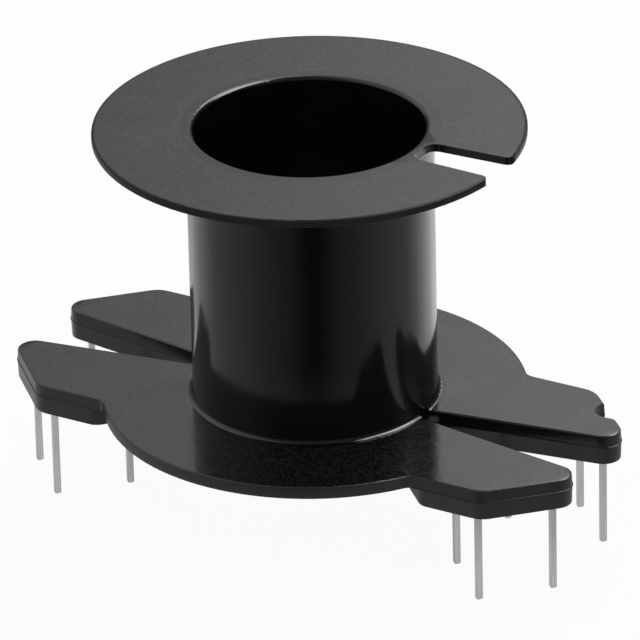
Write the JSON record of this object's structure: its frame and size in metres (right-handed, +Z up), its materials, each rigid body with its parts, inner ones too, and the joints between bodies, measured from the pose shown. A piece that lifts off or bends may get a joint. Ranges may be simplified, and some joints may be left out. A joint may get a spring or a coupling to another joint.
{
  "type": "transformer bobbin",
  "caption": "Moulded coil former for a pot core with a square footprint: a thin-walled spool with a slotted flange, V-slotted base ears and square solder pins.",
  "frame": {"origin": "on the bore axis, at the level of the pin tips that it stands on", "axes": "+Z up along the bore axis, +X along the wire slots towards the slot in the top flange, +Y towards the ear with the index notch"},
  "size_m": [0.0422, 0.0286, 0.0279],
  "materials": {
    "moulding": "satin moulded",
    "pin": "satin tinned"
  },
  "bodies": {
    "root": {"bobbin": "moulding", "pin_1": "pin", "pin_2": "pin", "pin_3": "pin", "pin_4": "pin", "pin_5": "pin", "pin_6": "pin", "pin_7": "pin", "pin_8": "pin", "pin_9": "pin", "pin_10": "pin", "pin_11": "pin", "pin_12": "pin"}
  },
  "joints": []
}
